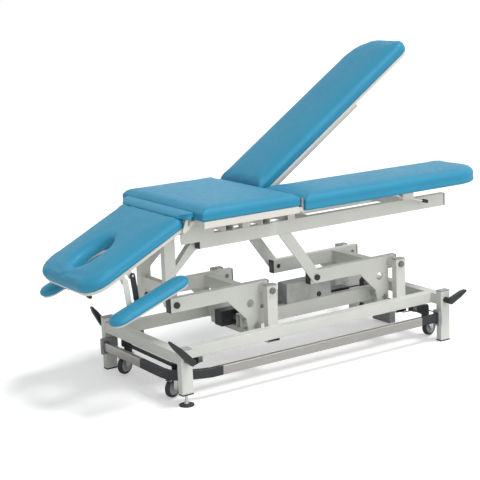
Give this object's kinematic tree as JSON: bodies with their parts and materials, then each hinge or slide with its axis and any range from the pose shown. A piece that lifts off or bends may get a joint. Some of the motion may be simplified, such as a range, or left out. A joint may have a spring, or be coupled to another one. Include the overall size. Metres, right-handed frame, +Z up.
{
  "type": "treatment couch",
  "caption": "Electric treatment couch with a tilting head section, face hole and drop armrests, separate leg sections, a parallelogram lift and retractable castors.",
  "frame": {"origin": "on the floor under the middle of the couch's outline", "axes": "+X along the couch towards the foot end, +Y away from the front, +Z up"},
  "size_m": [1.9606, 0.74, 1.3119],
  "materials": {
    "frame_paint": "satin",
    "board_paint": "satin",
    "black_plastic": "matte",
    "grey_plastic": "matte",
    "box_plastic": "satin",
    "zinc_steel": "brushed",
    "chrome": "polished",
    "aluminium": "satin",
    "wheel": "matte",
    "vinyl": "satin"
  },
  "bodies": {
    "base": {"posts": "frame_paint", "post_caps": "black_plastic", "cross_rails": "frame_paint", "side_rails": "frame_paint", "base_pins": "zinc_steel", "base_fittings": "grey_plastic"},
    "levelling_foot": {"levelling_foot": "black_plastic"},
    "foot_bar": {"foot_bar_rails": "aluminium", "foot_bar_ends": "black_plastic"},
    "pedals_head": {"pedals_head": "black_plastic"},
    "pedals_foot": {"pedals_foot": "black_plastic"},
    "castor_arms_head": {"castor_arms_head": "black_plastic"},
    "castor_arms_foot": {"castor_arms_foot": "black_plastic"},
    "fork_head_front": {"castor_fork_head_front": "zinc_steel"},
    "wheel_head_front": {"castor_wheel_head_front": "wheel"},
    "fork_head_rear": {"castor_fork_head_rear": "zinc_steel"},
    "wheel_head_rear": {"castor_wheel_head_rear": "wheel"},
    "fork_foot_front": {"castor_fork_foot_front": "zinc_steel"},
    "wheel_foot_front": {"castor_wheel_foot_front": "wheel"},
    "fork_foot_rear": {"castor_fork_foot_rear": "zinc_steel"},
    "wheel_foot_rear": {"castor_wheel_foot_rear": "wheel"},
    "left_arms": {"left_arms": "frame_paint", "left_arm_fittings": "frame_paint", "left_arm_ends": "black_plastic"},
    "right_arms": {"right_arms": "frame_paint", "right_arm_fittings": "frame_paint", "right_arm_ends": "black_plastic"},
    "tie_bar": {"tie_bar": "frame_paint", "tie_rods": "zinc_steel", "control_box": "box_plastic"},
    "actuator_body": {"actuator_body": "grey_plastic"},
    "actuator_rod": {"actuator_rod": "zinc_steel"},
    "upper_frame": {"upper_side_tubes": "frame_paint", "upper_end_plugs": "black_plastic", "upper_legs": "frame_paint", "upper_supports": "frame_paint", "middle_frame": "board_paint", "middle_pad": "vinyl", "hinge_plates": "frame_paint"},
    "head_section": {"head_frame": "board_paint", "head_pad": "vinyl"},
    "head_handle": {"head_handle": "chrome"},
    "leg_front": {"leg_frame_front": "board_paint", "leg_pad_front": "vinyl"},
    "leg_lever_front": {"leg_lever_front": "chrome"},
    "leg_spring_front": {"leg_spring_front": "black_plastic"},
    "leg_spring_rod_front": {"leg_spring_rod_front": "zinc_steel"},
    "armrest_link_a_front": {"armrest_link_a_front": "black_plastic"},
    "armrest_link_b_front": {"armrest_link_b_front": "frame_paint"},
    "armrest_front": {"armrest_bracket_front": "frame_paint", "armrest_pad_front": "vinyl"},
    "leg_rear": {"leg_frame_rear": "board_paint", "leg_pad_rear": "vinyl"},
    "leg_lever_rear": {"leg_lever_rear": "chrome"},
    "leg_spring_rear": {"leg_spring_rear": "black_plastic"},
    "leg_spring_rod_rear": {"leg_spring_rod_rear": "zinc_steel"},
    "armrest_link_a_rear": {"armrest_link_a_rear": "black_plastic"},
    "armrest_link_b_rear": {"armrest_link_b_rear": "frame_paint"},
    "armrest_rear": {"armrest_bracket_rear": "frame_paint", "armrest_pad_rear": "vinyl"}
  },
  "joints": [
    {"name": "levelling_foot_screw", "type": "slide", "parent": "base", "child": "levelling_foot", "axis": [0, 0, 1], "range_m": [0, 0.02]},
    {"name": "foot_bar_press", "type": "slide", "parent": "base", "child": "foot_bar", "axis": [0, 0, 1], "range_m": [-0.006, 0.006], "stiffness_N_per_m": 8000, "springref_m": 0.0043},
    {"name": "pedals_head_turn", "type": "hinge", "parent": "base", "child": "pedals_head", "pos_m": [-0.62269, 0, 0.1885], "axis": [0, -1, 0], "range_deg": [0, 28]},
    {"name": "castor_arms_head_swing", "type": "hinge", "parent": "base", "child": "castor_arms_head", "pos_m": [-0.5137, 0, 0.148], "axis": [0, -1, 0], "range_deg": [0, 8]},
    {"name": "pedals_foot_turn", "type": "hinge", "parent": "base", "child": "pedals_foot", "pos_m": [0.7153, 0, 0.1885], "axis": [0, 1, 0], "range_deg": [0, 28]},
    {"name": "castor_arms_foot_swing", "type": "hinge", "parent": "base", "child": "castor_arms_foot", "pos_m": [0.6063, 0, 0.148], "axis": [0, 1, 0], "range_deg": [0, 8]},
    {"name": "swivel_head_front", "type": "hinge", "parent": "castor_arms_head", "child": "fork_head_front", "pos_m": [-0.59569, -0.195, 0.09], "axis": [0, 0, 1], "continuous": true},
    {"name": "roll_head_front", "type": "hinge", "parent": "fork_head_front", "child": "wheel_head_front", "pos_m": [-0.62013, -0.20389, 0.044], "axis": [0.342, -0.9397, 0], "continuous": true},
    {"name": "swivel_head_rear", "type": "hinge", "parent": "castor_arms_head", "child": "fork_head_rear", "pos_m": [-0.59569, 0.195, 0.09], "axis": [0, 0, 1], "continuous": true},
    {"name": "roll_head_rear", "type": "hinge", "parent": "fork_head_rear", "child": "wheel_head_rear", "pos_m": [-0.62013, 0.18611, 0.044], "axis": [0.342, -0.9397, 0], "continuous": true},
    {"name": "swivel_foot_front", "type": "hinge", "parent": "castor_arms_foot", "child": "fork_foot_front", "pos_m": [0.6883, -0.225, 0.09], "axis": [0, 0, 1], "continuous": true},
    {"name": "roll_foot_front", "type": "hinge", "parent": "fork_foot_front", "child": "wheel_foot_front", "pos_m": [0.71391, -0.22048, 0.044], "axis": [-0.1736, 0.9848, 0], "continuous": true},
    {"name": "swivel_foot_rear", "type": "hinge", "parent": "castor_arms_foot", "child": "fork_foot_rear", "pos_m": [0.6883, 0.225, 0.09], "axis": [0, 0, 1], "continuous": true},
    {"name": "roll_foot_rear", "type": "hinge", "parent": "fork_foot_rear", "child": "wheel_foot_rear", "pos_m": [0.71391, 0.22951, 0.044], "axis": [-0.1736, 0.9848, 0], "continuous": true},
    {"name": "left_arms_lift", "type": "hinge", "parent": "base", "child": "left_arms", "pos_m": [-0.1347, 0, 0.357], "axis": [0, 1, 0], "range_deg": [-23, 35]},
    {"name": "right_arms_lift", "type": "hinge", "parent": "base", "child": "right_arms", "pos_m": [0.55531, 0, 0.357], "axis": [0, 1, 0], "range_deg": [-23, 35]},
    {"name": "tie_bar_turn", "type": "hinge", "parent": "left_arms", "child": "tie_bar", "pos_m": [-0.17469, 0, 0.204], "axis": [0, 1, 0], "range_deg": [-35, 23]},
    {"name": "upper_frame_level", "type": "hinge", "parent": "left_arms", "child": "upper_frame", "pos_m": [-0.5517, 0, 0.357], "axis": [0, 1, 0], "range_deg": [-35, 23]},
    {"name": "actuator_swing", "type": "hinge", "parent": "tie_bar", "child": "actuator_body", "pos_m": [-0.17469, 0.038, 0.204], "axis": [0, 1, 0], "range_deg": [-1.3, 1.8]},
    {"name": "actuator_stroke", "type": "slide", "parent": "actuator_body", "child": "actuator_rod", "axis": [1, 0, 0], "range_m": [-0.06, 0.09]},
    {"name": "head_section_tilt", "type": "hinge", "parent": "upper_frame", "child": "head_section", "pos_m": [-0.5287, 0, 0.735], "axis": [0, 1, 0], "range_deg": [0, 60]},
    {"name": "head_handle_press", "type": "hinge", "parent": "head_section", "child": "head_handle", "pos_m": [-0.90465, -0.04, 0.47604], "axis": [0, 1, 0], "range_deg": [0, 12]},
    {"name": "leg_front_raise", "type": "hinge", "parent": "upper_frame", "child": "leg_front", "pos_m": [-0.03769, 0, 0.735], "axis": [0, -1, 0], "range_deg": [0, 70]},
    {"name": "leg_lever_front_press", "type": "hinge", "parent": "leg_front", "child": "leg_lever_front", "pos_m": [0.6063, -0.2, 0.645], "axis": [0, -1, 0], "range_deg": [0, 12]},
    {"name": "leg_spring_front_swing", "type": "hinge", "parent": "leg_front", "child": "leg_spring_front", "pos_m": [0.26631, -0.144, 0.669], "axis": [0, -1, 0], "range_deg": [-0.3, 1.62]},
    {"name": "leg_spring_front_stroke", "type": "slide", "parent": "leg_spring_front", "child": "leg_spring_rod_front", "axis": [-0.998, 0, -0.0639], "range_m": [-0.001, 0.1156]},
    {"name": "armrest_front_swing", "type": "hinge", "parent": "head_section", "child": "armrest_link_a_front", "pos_m": [-0.82321, -0.242, 0.51888], "axis": [0, 1, 0], "range_deg": [-45, 30]},
    {"name": "armrest_front_second_link", "type": "hinge", "parent": "head_section", "child": "armrest_link_b_front", "pos_m": [-0.79099, -0.242, 0.53495], "axis": [0, 1, 0], "range_deg": [-45, 30]},
    {"name": "armrest_front_level", "type": "hinge", "parent": "armrest_link_a_front", "child": "armrest_front", "pos_m": [-0.80944, -0.242, 0.40673], "axis": [0, 1, 0], "range_deg": [-30, 45]},
    {"name": "leg_rear_raise", "type": "hinge", "parent": "upper_frame", "child": "leg_rear", "pos_m": [-0.03769, 0, 0.735], "axis": [0, -1, 0], "range_deg": [-34, 36]},
    {"name": "leg_lever_rear_press", "type": "hinge", "parent": "leg_rear", "child": "leg_lever_rear", "pos_m": [0.54653, 0.2, 1.02051], "axis": [0, -1, 0], "range_deg": [0, 12]},
    {"name": "leg_spring_rear_swing", "type": "hinge", "parent": "leg_rear", "child": "leg_spring_rear", "pos_m": [0.25124, 0.144, 0.85028], "axis": [0, -1, 0], "range_deg": [-1.49, 1.43]},
    {"name": "leg_spring_rear_stroke", "type": "slide", "parent": "leg_spring_rear", "child": "leg_spring_rod_rear", "axis": [-0.7658, 0, -0.6431], "range_m": [-0.0567, 0.06]},
    {"name": "armrest_rear_swing", "type": "hinge", "parent": "head_section", "child": "armrest_link_a_rear", "pos_m": [-0.82321, 0.242, 0.51888], "axis": [0, 1, 0], "range_deg": [-45, 30]},
    {"name": "armrest_rear_second_link", "type": "hinge", "parent": "head_section", "child": "armrest_link_b_rear", "pos_m": [-0.79099, 0.242, 0.53495], "axis": [0, 1, 0], "range_deg": [-45, 30]},
    {"name": "armrest_rear_level", "type": "hinge", "parent": "armrest_link_a_rear", "child": "armrest_rear", "pos_m": [-0.80944, 0.242, 0.40673], "axis": [0, 1, 0], "range_deg": [-30, 45]}
  ],
  "couplings": [
    {"joint": "castor_arms_head_swing", "follows": "pedals_head_turn", "ratio": 0.28571},
    {"joint": "castor_arms_foot_swing", "follows": "pedals_foot_turn", "ratio": 0.28571},
    {"joint": "right_arms_lift", "follows": "left_arms_lift", "ratio": 1},
    {"joint": "tie_bar_turn", "follows": "left_arms_lift", "ratio": -1},
    {"joint": "upper_frame_level", "follows": "left_arms_lift", "ratio": -1},
    {"joint": "actuator_swing", "follows": "left_arms_lift", "ratio": 0.0503},
    {"joint": "actuator_stroke", "follows": "left_arms_lift", "m_per_rad": 0.1437},
    {"joint": "leg_spring_front_swing", "follows": "leg_front_raise", "ratio": 0.0188},
    {"joint": "leg_spring_front_stroke", "follows": "leg_front_raise", "m_per_rad": 0.0938},
    {"joint": "armrest_front_second_link", "follows": "armrest_front_swing", "ratio": 1},
    {"joint": "armrest_front_level", "follows": "armrest_front_swing", "ratio": -1},
    {"joint": "leg_spring_rear_swing", "follows": "leg_rear_raise", "ratio": -0.0331},
    {"joint": "leg_spring_rear_stroke", "follows": "leg_rear_raise", "m_per_rad": 0.0939},
    {"joint": "armrest_rear_second_link", "follows": "armrest_rear_swing", "ratio": 1},
    {"joint": "armrest_rear_level", "follows": "armrest_rear_swing", "ratio": -1}
  ]
}
